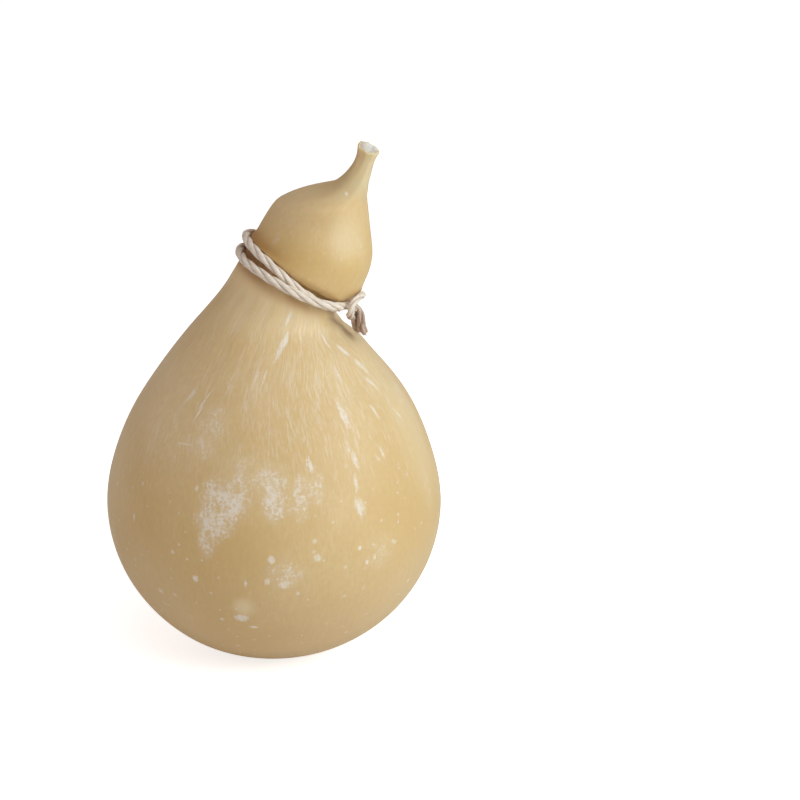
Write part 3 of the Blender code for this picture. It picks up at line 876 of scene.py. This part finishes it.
def settled_bloom(tree, position, flow, dashes, cover):
    """Soft dashes below the cord that come in clouds, patches of fine flecks in a thin haze, and streaks."""
    strokes = noise(tree, stretched(tree, flow, STROKE_GRAIN), 1.0, 2.0, 0.55, 0.3)
    veils = noise(tree, stretched(tree, flow, VEIL_GRAIN), 1.0, 2.0, 0.5)
    grain = noise(tree, position, FLECK_GRAIN, 3.0, 0.80, 0.2)
    ran = weighed(tree, dashes, 0.60, strokes, 0.40)
    clouded = sums(tree, "ADD", ran, sums(tree, "MULTIPLY", veils, 0.25))
    fan = settled(tree, clouded, attribute(tree, "fan"), 0.10, (0.66, 0.88), (0.0, 0.9, 0.09, 0.36))
    speckled = weighed(tree, ran, 0.25, grain, 0.75)
    flecks = settled(tree, speckled, cover, 0.156, (0.55, 0.79), (0.05, 1.1, 0.0, 0.82))
    flecks = sums(tree, "MAXIMUM", flecks, between(tree, cover, 0.1, 1.3, 0.0, 0.20))
    drawn = weighed(tree, ran, 0.60, grain, 0.40)
    marks = mark_cover(tree, position)
    streaks = settled(tree, drawn, marks, 0.17, (0.58, 0.84), (0.05, 1.3, 0.0, 0.86))
    return sums(tree, "MAXIMUM", fan, sums(tree, "MAXIMUM", flecks, streaks))


def pin_heads(tree, position, place, cover):
    """Round dots in some of the cells of two sizes, more of them in the patches and fewer above the belly."""
    dots = None
    for scale, size in PIN_HEADS:
        cells = add_node(tree, "TexVoronoi", None, {"Vector": position, "Scale": scale})
        tint = add_node(tree, "SeparateColor", None, {"Color": cells.outputs["Color"]})
        chance = tint.outputs["Red"]
        dot = between(tree, cells.outputs["Distance"], sums(tree, "MULTIPLY", chance, size), 0.04)
        chance = sums(tree, "ADD", chance, sums(tree, "MULTIPLY", cover, 0.16))
        dot = sums(tree, "MULTIPLY", dot, between(tree, chance, 0.76, 0.90))
        dots = dot if dots is None else sums(tree, "MAXIMUM", dots, dot)
    return sums(tree, "MULTIPLY", dots, between(tree, place["Z"], 0.115, 0.070, 0.15, 0.60))


def rind_material():
    """Aged rind: straw gold under wax, tan painted shade below, amber painted shade where the cord presses,
    white bloom in streaks, pale painted highlights.
    """
    material, tree, shader = new_material(
        "waxy rind", Subsurface_Weight=0.35, Subsurface_Radius=(1.0, 0.50, 0.20), Subsurface_Scale=0.008,
        IOR=1.46)
    position = add_node(tree, "TexCoord").outputs["Object"]
    place = add_node(tree, "SeparateXYZ", None, {"Vector": position}).outputs
    flow = attribute(tree, "flow", "Vector")
    dashes = noise(tree, stretched(tree, flow, DASH_GRAIN), 1.0, 3.0, 0.60, 0.2)
    fine = noise(tree, position, SKIN_GRAIN, 4.0, 0.6)
    colour = paste_colour(tree, position, place, fine, dashes)

    blotch = noise(tree, position, BLOTCH_GRAIN, 2.0, 0.6)
    cover = sums(tree, "MULTIPLY", attribute(tree, "bloom"), between(tree, blotch, 0.28, 0.64, 0.62, 1.20))
    white = settled_bloom(tree, position, flow, dashes, cover)
    white = sums(tree, "MAXIMUM", white, pin_heads(tree, position, place, cover))

    # pale wear, painted highlights and painted light, and the dry stem with its painted highlight
    for name, look in (("worn_and_lit", RIND_PALE), ("lit_under_cord", RIND_LIT_UNDER_CORD), ("dried_and_lit", RIND_DRY_AND_LIT)):
        colour = blend_colour(tree, attribute(tree, name), colour, look)
    colour = blend_colour(tree, white, colour, BLOOM_WHITE)
    # amber painted shade along the cord and in its groove
    colour = blend_colour(tree, sums(tree, "MULTIPLY", attribute(tree, "pressed_shade"), 0.95), colour, RIND_AMBER_SHADE)
    # painted shade in the left of the cut end's hollow
    curd = blend_colour(tree, between(tree, place["X"], 0.0385, 0.0445), CURD_SHADE, CURD_WHITE)
    colour = blend_colour(tree, between(tree, attribute(tree, "cut"), 0.35, 0.95), colour, curd)
    tree.links.new(colour, shader.inputs["Base Color"])

    # bloom is matt, and the wax under it has a fine grain
    waxy = between(tree, fine, 0.35, 0.65, 0.40, 0.47)
    rough = sums(tree, "ADD", waxy, sums(tree, "MULTIPLY", white, 0.22))
    tree.links.new(rough, shader.inputs["Roughness"])
    height = weighed(tree, fine, 0.35, dashes, 0.9)
    bump = add_node(tree, "Bump", None, {"Strength": 0.25, "Distance": 0.00025, "Height": height})
    tree.links.new(bump.outputs["Normal"], shader.inputs["Normal"])
    return material


# the dashes of bloom are thickest below the cord at the front right, and thin out towards the belly
below_neck = (run[neck_row] - run)[:, None]
fan = 0.5 + 0.5 * np.tanh((FAN_REACH - below_neck) / FAN_FADE)
fan = fan * (0.62 + 0.26 * np.cos(turn - FAN_SIDE))
fan = np.where(below_neck < 0.0, 0.15, fan)
# painted shade low on the head and on the stem's left side, and a deeper gold round the belly
golden_and_shade = bell(below_neck, *HEAD_SHADE) + 0.45 * bell(spine[:, 2:3], *BELLY_GOLD)
# the stem dries paler than the head; a painted highlight makes it paler still on its right side, and painted
# shade keeps it golden on its left side
drawn = np.clip((run - run[stem_row] + 0.010) / 0.013, 0.0, 1.0)[:, None]
golden_and_shade = golden_and_shade + 1.2 * drawn * np.clip(-np.cos(turn + 0.5), 0.0, 1.0)
# painted highlight on the stem's right side
dried_and_lit = drawn * (0.44 + 0.36 * np.cos(turn + 0.5))
# painted light just under the cord, lifting the shadow that the cord and the head cast
lit_under_cord = 0.95 * bell(below_neck, *LIT_UNDER_CORD_BAND) * (0.68 + 0.32 * np.cos(turn + 1.3))

rind = rind_material()
ripe_cheese = joined_piece("ripe_cheese", [closed_skin(grid, (0.0, 0.0, 0.0), end_pole)], rind)
write_attribute(ripe_cheese, "flow", flow)
for name, sides, at_foot, at_cut in (
        ("bloom", soft_ovals(BLOOM), 0.0, 0.0), ("fan", fan, 0.0, 0.3), ("worn_and_lit", soft_ovals(WORN_AND_LIT), 0.0, 0.3),
        ("lit_under_cord", lit_under_cord, 0.0, 0.0), ("dried_and_lit", dried_and_lit, 0.0, 0.5), ("golden_and_shade", golden_and_shade, 0.0, 0.0),
        ("pressed_shade", pressed_shade, 0.0, 0.0), ("cut", 0.0, 0.0, end_inside)):
    write_attribute(ripe_cheese, name, all_rows(sides, at_foot, at_cut))
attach(ripe_cheese, "root")
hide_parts("cheese")


# ------------------------------------------------------------------------------
# The studio. A light table of white acrylic that runs up behind as a sweep, a wide soft box at the front
# right, a weaker one high in front, a faint one at the left, and an even white surround.
# ------------------------------------------------------------------------------
SWEEP_HALF = 3.0
SWEEP_FRONT = -3.0
SWEEP_FLAT = 3.2            # how far back the table runs before it bends up
SWEEP_BEND = 1.2
SWEEP_TALL = 2.4
ACRYLIC = (0.80, 0.80, 0.80)
ACRYLIC_GRAIN = (0.82, 0.82, 0.82)
TABLE_GLOW = (0.100, 0.086, 0.074)          # light that the table sends up to the cheese, a little warm
TABLE_SEEN = (0.72, 0.72, 0.72)             # and towards the camera
SURROUND_GLOW = (0.345, 0.304, 0.290)
SURROUND_SEEN = (1.0, 1.0, 1.0)
LIT_PLACE = (0.0, 0.0, 0.11)                # the middle of the cheese, which the soft boxes face
# Name, place, width and height, watts and colour.
SOFT_BOXES = (
    ("key box", (1.19, -0.65, 0.75), (1.3, 0.9), 16.3, (0.87, 0.985, 1.0)),
    ("top box", (0.0, -0.77, 1.40), (0.8, 0.8), 4.6, (0.90, 0.95, 1.0)),
    ("side box", (-1.41, 0.25, 0.60), (1.2, 1.0), 1.5, (1.0, 1.0, 1.0)),
)


def sweep_skin():
    """A profile of a flat, a quarter circle and an upright, drawn straight across."""
    bend = np.linspace(0.0, math.pi / 2, 24)
    back = np.concatenate(([SWEEP_FRONT], SWEEP_FLAT + SWEEP_BEND * np.sin(bend), [SWEEP_FLAT + SWEEP_BEND]))
    up = np.concatenate(([0.0], SWEEP_BEND * (1 - np.cos(bend)), [SWEEP_TALL]))
    across = np.array((-SWEEP_HALF, SWEEP_HALF))
    points = np.stack(np.broadcast_arrays(across[None, :], back[:, None], up[:, None]), axis=-1)
    row = 2 * np.arange(len(back) - 1)
    faces = np.stack((row, row + 1, row + 3, row + 2), axis=-1)
    return points.reshape(-1, 3), faces.tolist()


def table_material():
    """Matt white acrylic lit from below, with a trace of grain."""
    material, tree, shader = new_material("light table", Roughness=0.9, Emission_Strength=1.0)
    position = add_node(tree, "TexCoord").outputs["Object"]
    grain = noise(tree, position, 300.0, 3.0, 0.6)
    tree.links.new(blend_colour(tree, grain, ACRYLIC, ACRYLIC_GRAIN), shader.inputs["Base Color"])
    seen = add_node(tree, "LightPath").outputs["Is Camera Ray"]
    tree.links.new(blend_colour(tree, seen, TABLE_GLOW, TABLE_SEEN), shader.inputs["Emission Color"])
    return material


def soft_box(name, place, size, watts, colour):
    """A rectangular area lamp turned to face the cheese, out of the camera's sight."""
    light = bpy.data.lights.new(name, "AREA")
    light.shape = "RECTANGLE"
    light.size, light.size_y = size
    light.energy = watts
    light.color = colour
    lamp = bpy.data.objects.new(name, light)
    lamp.location = place
    lamp.rotation_euler = (Vector(LIT_PLACE) - Vector(place)).to_track_quat("-Z", "Y").to_euler()
    lamp.visible_camera = False
    bpy.context.scene.collection.objects.link(lamp)


table = joined_piece("table", [sweep_skin()], table_material())
for box in SOFT_BOXES:
    soft_box(*box)

surround = bpy.data.worlds.new("surround")
bpy.context.scene.world = surround
surround.use_nodes = True
backdrop = surround.node_tree.nodes["Background"]
backdrop.inputs["Strength"].default_value = 1.0
sky_seen = add_node(surround.node_tree, "LightPath").outputs["Is Camera Ray"]
sky_glow = blend_colour(surround.node_tree, sky_seen, SURROUND_GLOW, SURROUND_SEEN)
surround.node_tree.links.new(sky_glow, backdrop.inputs["Color"])
bpy.context.scene.view_settings.view_transform = "Standard"
